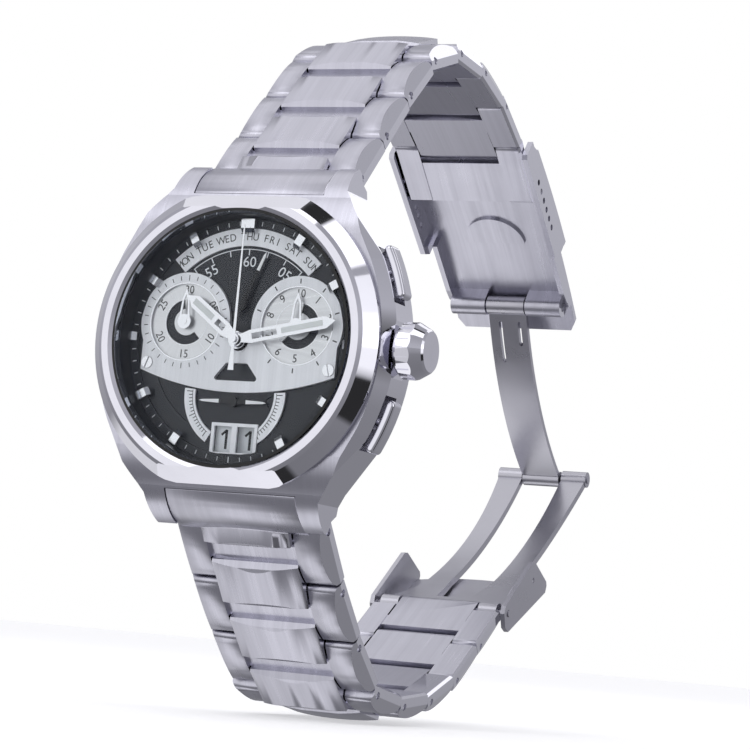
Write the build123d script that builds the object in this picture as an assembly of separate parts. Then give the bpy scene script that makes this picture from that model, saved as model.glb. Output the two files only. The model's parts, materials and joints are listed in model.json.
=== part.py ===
from build123d import *
import os
from math import asin, cos, degrees, radians, sin, sqrt

# A steel chronograph wristwatch with its folding clasp open, standing on edge.
# Units are millimetres. +X points to the crown, +Z to 12 o'clock and the dial faces -Y.
# The origin is the centre of the case back's outer face.
#
# The watch head is drawn lying on a bench: dial up along +Z, 12 o'clock along +Y, case back on Z = 0.
# STAND then turns it upright. The bracelet is drawn link by link along +Y with its outer face up.

# ---- watch head, heights above the case back ----
CASE_HALF_WIDTH = 21.2
FLANK_CORNER = (18.6, 11.5)        # where the curved flank meets the straight lug side
LUG_SHOULDER = (12.5, 20.1)         # where the case top ends at a crease
LUG_CORNER = (12.0, 24.0)
CASE_TOP = 9.4
CASE_BEVEL = 2.4                   # height of the polished bevel round the case top
CASE_BOTTOM = 1.4
BORE_RADIUS = 16.8
END_LINK_HALF = 9.4
END_LINK_START = 19.4
BACK_RADIUS = 18.4
BACK_SCREW_CIRCLE = 17.6
CENTRE_HEIGHT = 5.4                # stem, crown and pusher axes
BEZEL_RADIUS = 20.2
BEZEL_TOP = 12.2
CRYSTAL_RADIUS = 16.3
CRYSTAL_LOW = 10.95
CRYSTAL_TOP = 12.45

# ---- dial ----
DIAL_LOW = 7.8
DIAL_TOP = 8.2
MASK_TOP = 8.75
COUNTER_X = 8.0                    # 30 minute counter at -X, 10 hour counter at +X
COUNTER_Y = 2.2
COUNTER_RADIUS = 6.45
COUNTER_RECESS = 5.05
UPPER_HUB_Y = 4.6
LOWER_HUB_Y = -7.9
MASK_SCREW = (13.0, -3.3)
MARKER_OUTER = 15.8
DATE_CENTRE_Y = -12.75
DATE_CENTRE_X = 0.5                # the big date sits a little right of the 6 o'clock line
WINDOW = (2.65, 3.5)
WINDOW_X = 1.62
BRACKET_Y = -7.0                   # centre of the two bracket-shaped scales
BRACKET_RADII = (5.65, 7.2)

# ---- time shown ----
HOUR_ANGLE = 306.5                 # clockwise from 12 o'clock
MINUTE_ANGLE = 78.0
SMALL_SECONDS_ANGLE = 22.0

# ---- controls on the case flank ----
FLANK_RADIUS = (FLANK_CORNER[1] ** 2 + (CASE_HALF_WIDTH - FLANK_CORNER[0]) ** 2) / (
    2 * (CASE_HALF_WIDTH - FLANK_CORNER[0])
)
FLANK_CENTRE_X = CASE_HALF_WIDTH - FLANK_RADIUS
PUSHER_Y = 9.7
PUSHER_ANGLE = degrees(asin(PUSHER_Y / FLANK_RADIUS))
PUSHER_TRAVEL = 0.8
PUSHER_THICK = 1.3
CROWN_START = 21.5
CROWN_LENGTH = 3.9
CROWN_RADIUS = 3.65
CROWN_SIDES = 12

# ---- bracelet ----
PITCH = 10.0
FIRST_PIVOT = (0.5, 23.2)          # Y and Z of the first hinge pin above the case
TOP_ANGLES = (46, 46, 42, 20, -2, -16, -28, -40)
BOTTOM_ANGLES = (-49, -44, -38, -8, 5, 19, 32, 33)
END_LINK_ANGLE = 57                # direction of the fixed centre piece on each end link
FIRST_HALF_WIDTH = 10.95
TAPER_PER_LINK = 0.075
LINK_INNER = -1.5                  # inner face, measured from the pin
BLOCK_EDGE = 1.15                  # outer face of a side block at its ends
BLOCK_CROWN = 1.85                 # and at its middle
RAISED_TOP = 2.45
CENTRE_HALF = 6.3
FRONT_REACH = 1.5                  # from the pin to the front face of the side blocks
LINK_GAP = 0.28
PIN_RADIUS = 0.5
TONGUE_RADIUS = 1.35
WEB_START = 1.72
WEB_END = 4.5
SECOND_PIN = 6.1                   # fixes the centre piece in its frame
CROWN_ACROSS = 42.0                # radius of the raised piece's crown across the band
SIDE_CLEARANCE = 0.14

# ---- clasp ----
SPRING_BAR_REACH = 8.2             # from the last top pin to the spring bar
COVER_ANGLE = -37.5
COVER_TO_BARREL = 24.7
COVER_INNER_HALF = 10.6
COVER_WALL = 0.85
SPRING_BAR_RADIUS = 0.45
BLADE_ANGLE = -47.8
BLADE_LENGTH = 35.0
BLADE_HALF = 3.2
FORK_ANGLE = 30.5
FORK_LENGTH = 47.8
TINE_INNER = 3.5
TINE_OUTER = 7.8
STUD_RADIUS = 0.6
STUD_END = 8.0
FORK_ROOT_HALF = 9.6
FLAP_ANGLE = 24.5
FLAP_INNER_HALF = 10.5
FLAP_WALL = 0.7

FIT = 0.02                         # radial gap of a pressed fit
RUN = 0.06                         # radial gap of a running fit
STAND = Rot(90, 0, 0)


# ---- helpers ----
def face_of(*lines):
    return make_face([edge for line in lines for edge in line.edges()])


def polygon(*points):
    return face_of(Polyline(*points, close=True))


def disc(radius, low, high, centre=(0, 0), hole=0.0):
    ring = Circle(radius) - Circle(hole) if hole else Circle(radius)
    return Pos(centre[0], centre[1], low) * extrude(ring, high - low)


def turned(*profile):
    """A solid of revolution about Z from (radius, height) points."""
    return revolve(Plane.XZ * polygon(*profile), Axis.Z)


def slab(outline, half_width):
    """A side-on outline, (along, up), extruded both ways along X."""
    return extrude(Plane.YZ * outline, half_width, both=True)


def strip(outline, near, far):
    """A side-on outline between two X positions, and its mirror image."""
    one = Pos(near, 0, 0) * extrude(Plane.YZ * outline, far - near)
    return one, mirror(one, Plane.YZ)


def cross_rod(radius, half_length, along=0.0, up=0.0):
    return Pos(0, along, up) * Rot(0, 90, 0) * Cylinder(radius, 2 * half_length)


def rod_x(radius, start, end, height=CENTRE_HEIGHT):
    return Pos((start + end) / 2, 0, height) * Rot(0, 90, 0) * Cylinder(radius, end - start)


def box(x_range, y_range, z_range):
    size = [high - low for low, high in (x_range, y_range, z_range)]
    middle = [(high + low) / 2 for low, high in (x_range, y_range, z_range)]
    return Pos(*middle) * Box(*size)


def sector(inner, outer, start, end):
    """A ring sector between two angles, counter-clockwise from +X."""
    def at(radius, angle):
        return radius * cos(radians(angle)), radius * sin(radians(angle))

    middle = (start + end) / 2
    return face_of(
        ThreePointArc(at(outer, start), at(outer, middle), at(outer, end)),
        Line(at(outer, end), at(inner, end)),
        ThreePointArc(at(inner, end), at(inner, middle), at(inner, start)),
        Line(at(inner, start), at(outer, start)),
    )


def write(name, *pieces):
    solids = [solid for piece in pieces for solid in piece.solids()]
    export_step(Compound(label=name, children=solids), f"parts/{name}.step")


def write_head(name, *pieces):
    write(name, *[STAND * piece for piece in pieces])


# ---- case ----
def case_outline(waist=None):
    """Plan of the case: round flanks, then straight lugs, drawn in to a waist if one is given."""
    fx, fy = FLANK_CORNER
    lug = [LUG_CORNER] if waist is None else [waist, LUG_CORNER]
    upper = [(fx, fy), *lug]
    ends = [*upper, *[(-x, y) for x, y in reversed(upper)]]
    return face_of(
        ThreePointArc((fx, -fy), (CASE_HALF_WIDTH, 0), (fx, fy)),
        Polyline(*ends),
        ThreePointArc((-fx, fy), (-CASE_HALF_WIDTH, 0), (-fx, -fy)),
        Polyline(*[(-x, -y) for x, y in ends]),
    )


def lug_profile():
    """Side view of the case: a flat middle with lugs that curve down at both ends."""
    half = [
        (BACK_RADIUS + 0.1, CASE_BOTTOM), (20.2, 0.7), (21.2, 0.7), (22.0, 1.9), (23.2, 2.15), (23.7, 2.8),
    ]
    tip = (23.7, 3.1)
    crease = (END_LINK_START - 0.3, 7.5)
    top = (14.2, CASE_TOP)
    over, ramp = (17.0, 8.65), (22.1, 5.5)

    def flip(point):
        return -point[0], point[1]

    return face_of(
        Polyline(flip(half[0]), *half, tip),
        ThreePointArc(tip, ramp, crease),
        ThreePointArc(crease, over, top),
        Line(top, flip(top)),
        ThreePointArc(flip(top), flip(over), flip(crease)),
        ThreePointArc(flip(crease), flip(ramp), flip(tip)),
        Polyline(flip(tip), *[flip(point) for point in reversed(half)]),
    )


def pusher_frames():
    """The two pusher axes: +X outward, origin at the centre of the flank's curve."""
    centre = Pos(FLANK_CENTRE_X, 0, CENTRE_HEIGHT)
    return [centre * Rot(0, 0, side * PUSHER_ANGLE) for side in (1, -1)]


def pusher_bar(middle_radius, thickness, height, half_angle):
    """A bar that follows the curve of the flank, with round ends."""
    arc = CenterArc((0, 0), middle_radius, -half_angle, 2 * half_angle)
    return Pos(0, 0, -height / 2) * extrude(SlotArc(arc, thickness), height)


def case_middle():
    lower = extrude(case_outline(), CASE_TOP - CASE_BEVEL)
    upper = Pos(0, 0, CASE_TOP - CASE_BEVEL) * extrude(case_outline(), CASE_BEVEL, taper=23)
    body = (lower + upper) & slab(lug_profile(), CASE_HALF_WIDTH + 1)
    body &= Pos(0, 0, -1) * extrude(case_outline(LUG_SHOULDER), CASE_TOP + 2)
    body -= disc(BORE_RADIUS, -1, CASE_TOP + 1)
    for side in (1, -1):
        far = side * (LUG_CORNER[1] + 3)
        low, high = sorted((side * END_LINK_START, far))
        body -= box((-END_LINK_HALF, END_LINK_HALF), (low, high), (-3, CASE_TOP + 1))
    body -= rod_x(1.3 + FIT, 14, 23)
    body -= rod_x(CROWN_RADIUS + 0.4, CASE_HALF_WIDTH - 0.25, 24)
    for frame in pusher_frames():
        body -= frame * rod_x(1.2 + FIT, 18, 28, 0)
        pocket_depth = 4.0
        floor = FLANK_RADIUS - PUSHER_TRAVEL - 0.4
        body -= frame * pusher_bar(floor + pocket_depth / 2, pocket_depth, 3.4, 4.6)
    for side in (1, -1):
        body -= cross_rod(0.6 + FIT, 11.6, side * 20.6, 3.6)
    for angle in back_screw_angles():
        spot = Rot(0, 0, angle) * Pos(BACK_SCREW_CIRCLE, 0, 2.6)
        body -= spot * Cylinder(0.4 + FIT, 3.0)
    return body


def back_screw_angles():
    return [30 + 60 * step for step in range(6)]


def case_back():
    body = turned((0, 0), (BACK_RADIUS - 0.7, 0), (BACK_RADIUS, 0.6), (BACK_RADIUS, CASE_BOTTOM), (0, CASE_BOTTOM))
    body = body & disc(BACK_RADIUS + 1, -1, 3)
    body -= box((-30, 30), (19.0, 30), (-1, 3)) + box((-30, 30), (-30, -19.0), (-1, 3))
    body -= disc(12.6, -0.1, 0.12, hole=12.2)
    for angle in back_screw_angles():
        spot = Rot(0, 0, angle) * Pos(BACK_SCREW_CIRCLE, 0, 0)
        body -= spot * Cylinder(0.4 + FIT, 8)
        body -= spot * Cylinder(0.62 + FIT, 1.2)
    return body


def case_back_screws():
    screws = []
    for angle in back_screw_angles():
        screw = disc(0.62, 0.1, 0.6) + disc(0.4, 0.6, 3.6)
        screw -= box((-0.7, 0.7), (-0.09, 0.09), (0, 0.28))
        screws.append(Rot(0, 0, angle) * Pos(BACK_SCREW_CIRCLE, 0, 0) * screw)
    return screws


def bezel():
    inner = CRYSTAL_RADIUS + 0.45
    ring = turned(
        (inner, CASE_TOP), (BEZEL_RADIUS - 0.3, CASE_TOP), (BEZEL_RADIUS, CASE_TOP + 0.35),
        (BEZEL_RADIUS, CASE_TOP + 0.8), (BEZEL_RADIUS - 1.5, BEZEL_TOP - 0.35),
        (BEZEL_RADIUS - 2.0, BEZEL_TOP - 0.08), (inner + 0.5, BEZEL_TOP), (inner, BEZEL_TOP - 0.25),
    )
    # Two shallow flats at 12 and 6 o'clock give the outer slope its lens-shaped ends.
    for side in (1, -1):
        cut = Pos(0, side * (BEZEL_RADIUS + 4.1), CASE_TOP + 1.2) * Rot(side * 40, 0, 0) * Box(60, 10, 12)
        ring -= cut
    return ring


def crystal():
    edge = 0.25
    return turned(
        (0, CRYSTAL_LOW), (CRYSTAL_RADIUS, CRYSTAL_LOW), (CRYSTAL_RADIUS, CRYSTAL_TOP - edge),
        (CRYSTAL_RADIUS - edge, CRYSTAL_TOP), (0, CRYSTAL_TOP),
    )


def gaskets():
    """The crystal's seat and the case back's seal."""
    crystal_seat = disc(CRYSTAL_RADIUS + 0.42, 11.0, 11.9, hole=CRYSTAL_RADIUS + 0.02)
    back_seal = disc(BORE_RADIUS - 0.1, CASE_BOTTOM, CASE_BOTTOM + 0.35, hole=BORE_RADIUS - 1.1)
    return crystal_seat, back_seal


def chapter_ring():
    outer = BORE_RADIUS - 0.08
    return turned(
        (outer, DIAL_TOP), (outer, CRYSTAL_LOW - 0.05), (outer - 0.55, CRYSTAL_LOW - 0.05),
        (MARKER_OUTER + 0.2, 9.1), (MARKER_OUTER + 0.1, DIAL_TOP + 0.25), (14.75, DIAL_TOP + 0.25), (14.75, DIAL_TOP),
    )


# ---- dial ----
def both_counters(part):
    return [Pos(side * COUNTER_X, COUNTER_Y, 0) * part for side in (-1, 1)]


def date_window_cutters(low, high, margin=0.0):
    width, height = WINDOW
    cutters = []
    for side in (-1, 1):
        x = DATE_CENTRE_X + side * WINDOW_X
        cutters.append(box(
            (x - width / 2 - margin, x + width / 2 + margin),
            (DATE_CENTRE_Y - height / 2 - margin, DATE_CENTRE_Y + height / 2 + margin),
            (low, high),
        ))
    return cutters


def dial_plate():
    plate = disc(BORE_RADIUS - 0.06, DIAL_LOW, DIAL_TOP, hole=1.1)
    for spot in ((0, UPPER_HUB_Y), (0, LOWER_HUB_Y), (-COUNTER_X, COUNTER_Y), (COUNTER_X, COUNTER_Y)):
        plate -= disc(0.36, 7, 9, spot)
    for x in (-MASK_SCREW[0], MASK_SCREW[0]):
        plate -= disc(0.32, 7, 9, (x, MASK_SCREW[1]))
    for cutter in date_window_cutters(7, 9):
        plate -= cutter
    # Shallow recesses each side of the date.
    for side in (-1, 1):
        start = 205 if side < 0 else 300
        recess = extrude(sector(8.6, 12.6, start, start + 35), 0.2)
        plate -= Pos(0, 0, DIAL_TOP - 0.15) * recess
    return plate


def mask_plate():
    lower = face_of(
        ThreePointArc((-13.9, -4.2), (0, -6.7), (13.9, -4.2)),
        Polyline((13.9, -4.2), (13.9, 0.5), (8, 1.5), (1.9, 0.4), (-1.9, 0.4), (-8, 1.5), (-13.9, 0.5), (-13.9, -4.2)),
    )
    plate = Pos(0, 0, DIAL_TOP) * extrude(lower, MASK_TOP - DIAL_TOP)
    for ring in both_counters(disc(COUNTER_RADIUS, DIAL_TOP, MASK_TOP)):
        plate += ring
    plate = plate & disc(14.65, DIAL_TOP, MASK_TOP)
    for well in both_counters(disc(COUNTER_RECESS, 8, 9)):
        plate -= well
    plate -= disc(1.35, 8, 9)
    cut = fillet(polygon((-3.4, -5.2), (3.4, -5.2), (1.5, -2.9), (-1.5, -2.9)).vertices(), 0.35)
    plate -= Pos(0, 0, 8) * extrude(cut, 1)
    for x in (-MASK_SCREW[0], MASK_SCREW[0]):
        plate -= disc(0.32, 8, 9, (x, MASK_SCREW[1]))
        plate -= disc(0.82, MASK_TOP - 0.3, 9, (x, MASK_SCREW[1]))
    return plate


def mask_screws():
    screws = []
    for x, turn in ((-MASK_SCREW[0], 70), (MASK_SCREW[0], -75)):
        screw = disc(0.78, MASK_TOP - 0.3, MASK_TOP + 0.12) + disc(0.3, DIAL_LOW, MASK_TOP - 0.3)
        screw -= box((-1, 1), (-0.11, 0.11), (MASK_TOP - 0.05, 9))
        screws.append(Pos(x, MASK_SCREW[1], 0) * Rot(0, 0, turn) * screw)
    return screws


def counter_discs():
    """Recessed numeral rings with a C-shaped opening on to the black dial."""
    plate = disc(COUNTER_RECESS - 0.03, DIAL_TOP, DIAL_TOP + 0.2, hole=0.36)
    return [
        Pos(side * COUNTER_X, COUNTER_Y, 0) * (plate - Pos(0, 0, 8) * extrude(sector(1.75, 2.95, start, start + 215), 1))
        for side, start in ((-1, 100), (1, 225))
    ]


def day_arc():
    return Pos(0, 0, DIAL_TOP) * extrude(sector(12.4, 14.7, 44.5, 135.5), 0.3)


def date_frame_block(margin, high):
    """The outside of the date frame, larger all round by a margin."""
    width, height = WINDOW
    reach = WINDOW_X + width / 2 + 0.35 + margin
    return box(
        (DATE_CENTRE_X - reach, DATE_CENTRE_X + reach),
        (DATE_CENTRE_Y - height / 2 - 0.1 - margin, DATE_CENTRE_Y + height / 2 + 0.35 + margin),
        (DIAL_TOP, high),
    )


def scale_brackets():
    """Two bracket-shaped scales each side of the lower hand."""
    pieces = []
    for start in (175, -60):
        arc = Pos(0, BRACKET_Y, DIAL_TOP) * extrude(sector(*BRACKET_RADII, start, start + 65), 0.3)
        pieces.append(arc - date_frame_block(0.08, 9))
    return pieces


def date_frame():
    frame = date_frame_block(0, DIAL_TOP + 0.35)
    for cutter in date_window_cutters(8, 9, -0.08):
        frame -= cutter
    return frame & disc(14.7, 8, 9)


def hour_markers():
    blocks = []
    for hour in (1, 2, 3, 4, 5, 7, 8, 9, 10, 11, 12):
        half, inner = (0.95, 14.05) if hour == 12 else (0.55, 13.95)
        if hour in (3, 9):
            inner = 14.75
        block = box((-half, half), (inner, MARKER_OUTER), (DIAL_TOP + 0.25, DIAL_TOP + 1.25))
        block -= box((-half, half), (inner, 14.8), (DIAL_TOP, DIAL_TOP + 0.6))
        block -= Pos(0, inner, DIAL_TOP + 1.35) * Rot(38, 0, 0) * Box(3, 1.6, 0.8)
        blocks.append(Rot(0, 0, -30 * hour) * block)
    return blocks


# ---- hands ----
def tapered(length, tail, root_half, tip_half, low, high):
    return Pos(0, 0, low) * extrude(
        polygon((-root_half * 0.6, -tail), (root_half * 0.6, -tail), (root_half, 0), (tip_half, length),
                (0, length + 0.5), (-tip_half, length), (-root_half, 0)),
        high - low,
    )


def open_baton(length, half, low, high):
    """A flat baton with a narrow neck, an open slot near the hub and a lume channel."""
    blade = Pos(0, 0, low) * extrude(
        polygon((-0.35, 0), (0.35, 0), (half, 2.2), (half * 0.92, length - 1.4), (0, length),
                (-half * 0.92, length - 1.4), (-half, 2.2)),
        high - low,
    )
    slot = box((-half * 0.45, half * 0.45), (2.4, length * 0.42), (low - 1, high + 1))
    return blade - slot


def hour_hand():
    hand = open_baton(9.4, 0.95, 9.25, 9.45) + disc(1.15, 9.25, 9.45)
    hand = Rot(0, 0, -HOUR_ANGLE) * hand
    return hand + disc(0.95, 5.2, 9.3) - disc(0.66, 4, 10)


def minute_hand():
    hand = open_baton(14.2, 0.85, 9.75, 9.93) + disc(0.95, 9.75, 9.93)
    hand = Rot(0, 0, -MINUTE_ANGLE) * hand
    return hand + disc(0.6, 5.0, 9.8) - disc(0.32, 4, 11)


def chronograph_seconds_hand():
    hand = tapered(14.4, 3.9, 0.2, 0.09, 10.2, 10.32)
    tail = Pos(0, 0, 10.2) * extrude(polygon((-0.42, -4.0), (0.42, -4.0), (0.2, -1.2), (-0.2, -1.2)), 0.12)
    return hand + tail + disc(0.7, 10.2, 10.32) + disc(0.45, 10.3, 10.62) + disc(0.26, 4.8, 10.3)


def counter_hand(side):
    """An open triangular loop on a round boss."""
    loop = extrude(polygon((-0.75, 0.6), (0.75, 0.6), (0.5, 3.0), (0, 4.3), (-0.5, 3.0)), 0.14)
    loop -= extrude(polygon((-0.45, 0.7), (0.45, 0.7), (0.28, 2.8), (0, 3.5), (-0.28, 2.8)), 0.14)
    hand = Pos(0, 0, 9.0) * loop + disc(0.95, 8.95, 9.14) + disc(0.4, 9.1, 9.2) + disc(0.3, 7.75, 9.0)
    return Pos(side * COUNTER_X, COUNTER_Y, 0) * hand


def small_seconds_hand():
    hand = tapered(7.0, 1.6, 0.3, 0.16, 8.85, 8.97) + disc(0.6, 8.8, 9.02)
    hand = Rot(0, 0, -SMALL_SECONDS_ANGLE) * hand
    return Pos(0, UPPER_HUB_Y, 0) * (hand + disc(0.3, 7.75, 8.85))


def lower_hand():
    point = tapered(4.3, 0, 0.34, 0.14, 8.85, 8.97)
    hand = Rot(0, 0, 90) * point + Rot(0, 0, -90) * point + disc(0.7, 8.8, 9.05)
    return Pos(0, LOWER_HUB_Y, 0) * (hand + disc(0.3, 7.75, 8.9))


# ---- movement ----
def date_units_disc():
    return disc(15.8, 7.1, 7.3, hole=10.4)


def date_tens_disc():
    """Lies over the units disc and shows it through four openings."""
    ring = disc(15.8, 7.42, 7.62, hole=10.4)
    width, height = WINDOW
    opening = box(
        (DATE_CENTRE_X + 0.15, DATE_CENTRE_X + width + 0.45),
        (DATE_CENTRE_Y - height / 2 - 0.2, DATE_CENTRE_Y + height / 2 + 0.2),
        (7, 8),
    )
    for quarter in range(4):
        ring -= Rot(0, 0, 90 * quarter) * opening
    return ring


def movement_holder():
    ring = disc(BORE_RADIUS - 0.1, 1.8, 7.0, hole=14.4)
    ring -= rod_x(1.0, 12, 20)
    for frame in pusher_frames():
        ring -= frame * rod_x(1.05, 16, 26, 0)
    return ring


def main_plate():
    plate = disc(14.3, 4.55, 6.9, hole=1.3)
    plate -= box((7.2, 15), (-1.5, 1.5), (4, 6.4))
    for spot in ((0, UPPER_HUB_Y), (0, LOWER_HUB_Y), (-COUNTER_X, COUNTER_Y), (COUNTER_X, COUNTER_Y)):
        plate -= disc(0.5, 4, 8, spot)
    return plate


def train_bridge():
    plate = disc(14.2, 3.5, 4.5) - disc(5.0, 3, 5, (-7.2, -6.0))
    plate -= box((7.0, 15), (-1.8, 1.8), (3, 5))
    plate -= disc(2.6, 3, 5, (3.5, 8.0))
    return plate - disc(1.3, 3, 5)


def battery():
    return disc(4.75, 1.95, 4.1, (-7.2, -6.0)) + disc(4.3, 1.85, 1.95, (-7.2, -6.0))


def motor_coil():
    core = Pos(3.5, -6.5, 2.9) * Rot(0, 0, 20) * Box(10.0, 0.8, 0.8)
    winding = Pos(3.5, -6.5, 2.9) * Rot(0, 0, 20) * Rot(0, 90, 0) * Cylinder(0.55, 7.0)
    return core + winding


def circuit_board():
    board = disc(13.6, 3.2, 3.45) - disc(5.2, 3, 4, (-7.2, -6.0))
    board -= Pos(3.5, -6.5, 3.3) * Rot(0, 0, 20) * Box(11, 2.2, 1)
    return board - box((6.8, 15), (-2, 2), (3, 4))


# ---- crown and pushers ----
def crown():
    end = CROWN_START + CROWN_LENGTH
    turned_body = Plane.XZ * polygon(
        (CROWN_START, 0), (CROWN_START, CROWN_RADIUS - 0.4), (CROWN_START + 0.5, CROWN_RADIUS),
        (CROWN_START + 2.1, CROWN_RADIUS + 0.05), (end - 0.25, 2.85), (end, 2.6), (end, 0),
    )
    body = revolve(turned_body, Axis.X)
    flat = CROWN_RADIUS * cos(radians(180 / CROWN_SIDES)) + 0.05
    prism = Pos(CROWN_START, 0, 0) * extrude(
        Plane.YZ * RegularPolygon(flat, CROWN_SIDES, major_radius=False), CROWN_LENGTH
    )
    body = body & prism
    for step in range(CROWN_SIDES):
        groove = Rot(360 * (step + 0.5) / CROWN_SIDES, 0, 0) * Pos(CROWN_START + 0.9, CROWN_RADIUS + 0.12, 0)
        body -= groove * Box(2.3, 0.7, 0.55)
    body -= Pos(CROWN_START + 0.7, 0, 0) * Rot(0, 90, 0) * Cylinder(1.75, 1.8)
    body -= rod_x(0.5, CROWN_START - 0.5, CROWN_START + 2.8, 0)
    return Pos(0, 0, CENTRE_HEIGHT) * body


def winding_stem():
    stem = rod_x(0.48, 10.0, CROWN_START + 2.7)
    return stem - (rod_x(0.6, 12.6, 13.2) - rod_x(0.3, 12.6, 13.2))


def case_tubes():
    crown_tube = rod_x(1.3, 17.2, CROWN_START + 1.0) - rod_x(0.48 + RUN, 16, 24)
    pusher_tube = rod_x(1.2, 22.6, 25.3, 0) - rod_x(0.75 + RUN, 22, 26, 0)
    return [crown_tube] + [frame * pusher_tube for frame in pusher_frames()]


def setting_lever():
    lever = box((12.65, 13.15), (-1.2, 1.2), (CENTRE_HEIGHT - 0.7, CENTRE_HEIGHT + 0.7))
    lever -= rod_x(0.3 + RUN, 12, 14)
    return lever - box((12, 14), (-0.3 - RUN, 0.3 + RUN), (CENTRE_HEIGHT, CENTRE_HEIGHT + 2))


def pusher(frame):
    inner = FLANK_RADIUS + 0.05
    head = pusher_bar(inner + PUSHER_THICK / 2, PUSHER_THICK, 2.8, 6.2)
    head = fillet(head.edges().filter_by(Plane.XY), 0.5)
    return frame * (head + rod_x(0.75, 22.3, inner + 0.4, 0))


# ---- bracelet ----
def half_width(index):
    return FIRST_HALF_WIDTH - TAPER_PER_LINK * index


def block_profile(rear):
    """Side view of a link's side block, from its rounded front to its rear face."""
    front, low, corner = -FRONT_REACH, LINK_INNER, 0.75
    middle = (front + rear) / 2
    return face_of(
        Polyline((rear - 0.45, low), (front + corner, low)),
        ThreePointArc((front + corner, low), (front + 0.22, low + 0.22), (front, low + corner)),
        Line((front, low + corner), (front, BLOCK_EDGE - corner)),
        ThreePointArc((front, BLOCK_EDGE - corner), (front + 0.22, BLOCK_EDGE - 0.22), (front + corner, BLOCK_EDGE)),
        ThreePointArc((front + corner, BLOCK_EDGE), (middle, BLOCK_CROWN), (rear - 0.5, BLOCK_EDGE)),
        Polyline((rear - 0.5, BLOCK_EDGE), (rear, BLOCK_EDGE - 0.45), (rear, low + 0.45), (rear - 0.45, low)),
    )


def side_blocks(index, rear):
    """Two outer blocks with a lens-shaped facet along each outer edge."""
    inner, outer = CENTRE_HALF + SIDE_CLEARANCE, half_width(index)
    section = Plane.XZ * polygon(
        (inner, LINK_INNER), (outer - 0.35, LINK_INNER), (outer, LINK_INNER + 0.35), (outer, 0.15),
        (outer - 1.15, BLOCK_CROWN + 0.3), (inner, BLOCK_CROWN + 0.3),
    )
    prism = extrude(section, 30, both=True)
    one = (Pos(inner, 0, 0) * extrude(Plane.YZ * block_profile(rear), outer - inner)) & prism
    return one, mirror(one, Plane.YZ)


def centre_piece(start, top=RAISED_TOP):
    """The raised piece over a joint: its tongue wraps the next link's hinge pin."""
    reach = PITCH + TONGUE_RADIUS
    tongue = face_of(
        Polyline((PITCH, LINK_INNER + 0.15), (start, LINK_INNER + 0.15), (start, BLOCK_EDGE - 0.1), (PITCH, TONGUE_RADIUS)),
        ThreePointArc((PITCH, TONGUE_RADIUS), (reach, 0), (PITCH, LINK_INNER + 0.15)),
    )
    lid = polygon(
        (start, 0.4), (start, top - 0.75), (start + 0.7, top - 0.08), (start + 1.3, top),
        (reach - 0.35, top), (reach + 0.15, top - 0.25), (reach + 0.15, 1.2), (PITCH, 0.9), (start + 1, 0.4),
    )
    piece = slab(tongue, CENTRE_HALF) + slab(lid, CENTRE_HALF)
    piece = piece & Pos(0, 0, top - CROWN_ACROSS) * Rot(90, 0, 0) * Cylinder(CROWN_ACROSS, 60)
    return piece - cross_rod(PIN_RADIUS + RUN, CENTRE_HALF + 1, PITCH)


def link_frame(index, rear, web_end):
    """Two side blocks joined by a web, bored for the hinge pin."""
    left, right = side_blocks(index, rear)
    web = polygon(
        (WEB_START, LINK_INNER + 0.1), (web_end, LINK_INNER + 0.1), (web_end, BLOCK_EDGE),
        (WEB_START + 0.3, BLOCK_EDGE), (WEB_START, BLOCK_EDGE - 0.3),
    )
    frame = left + right + slab(web, CENTRE_HALF + SIDE_CLEARANCE + 0.01)
    return frame - cross_rod(PIN_RADIUS + FIT, 20)


def hinge_pin(index):
    return cross_rod(PIN_RADIUS, half_width(index) - 0.35)


def link(index):
    """One bracelet link on its own hinge pin, with its centre piece and both pins."""
    frame = link_frame(index, PITCH - FRONT_REACH - LINK_GAP, WEB_END)
    half_pin = CENTRE_HALF + SIDE_CLEARANCE + 1.5
    frame -= cross_rod(PIN_RADIUS + FIT, half_pin, SECOND_PIN)
    piece = centre_piece(WEB_END) - cross_rod(PIN_RADIUS + FIT, half_pin, SECOND_PIN)
    return [frame, piece, hinge_pin(index), cross_rod(PIN_RADIUS, half_pin, SECOND_PIN)]


def cover_end_link(index):
    """The last link of the upper half: its closed end takes the spring bar."""
    end = SPRING_BAR_REACH + 1.3
    frame = link_frame(index, end, end - 0.3)
    return [frame - cross_rod(SPRING_BAR_RADIUS + RUN, 20, SPRING_BAR_REACH), hinge_pin(index)]


def end_link():
    """The piece between the lugs, in the bench frame, with its fixed centre piece."""
    start = END_LINK_START + 0.05
    profile = face_of(
        Polyline((start, 1.6), (start, 7.3)),
        ThreePointArc((start, 7.3), (22.05, 5.4), (23.75, 2.4)),
        Polyline((23.75, 2.4), (23.9, 1.6), (23.5, 1.6), (22.0, 1.45), (21.0, 0.6), (20.4, 0.5), (start, 1.6)),
    )
    body = slab(profile, END_LINK_HALF - 0.06)
    shoulder = Plane.XZ * polygon((-12, -5), (12, -5), (12, 7.3), (5.4, 8.4), (-5.4, 8.4), (-12, 7.3))
    body = body & extrude(shoulder, 40, both=True)
    body -= cross_rod(0.6 + FIT, 12, 20.6, 3.6)
    return body


def end_link_pins():
    return [cross_rod(0.6, 11.4, side * 20.6, 3.6) for side in (1, -1)]


def chain_pivots(side, angles):
    """The hinge pins of one half of the bracelet as (Y, Z), from the case outwards."""
    y, z = FIRST_PIVOT[0], side * FIRST_PIVOT[1]
    pivots = []
    for angle in angles:
        pivots.append((y, z))
        y += PITCH * cos(radians(angle))
        z += PITCH * sin(radians(angle))
    return pivots, (y, z)


def placed(pivot, angle, side, pieces):
    """Stands pieces drawn along +Y on a pivot; the lower half is turned over."""
    turn = Rot(0, 180, 0) if side < 0 else Rot(0, 0, 0)
    spot = Pos(0, pivot[0], pivot[1]) * Rot(angle, 0, 0) * turn
    return [spot * piece for piece in pieces]


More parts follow.
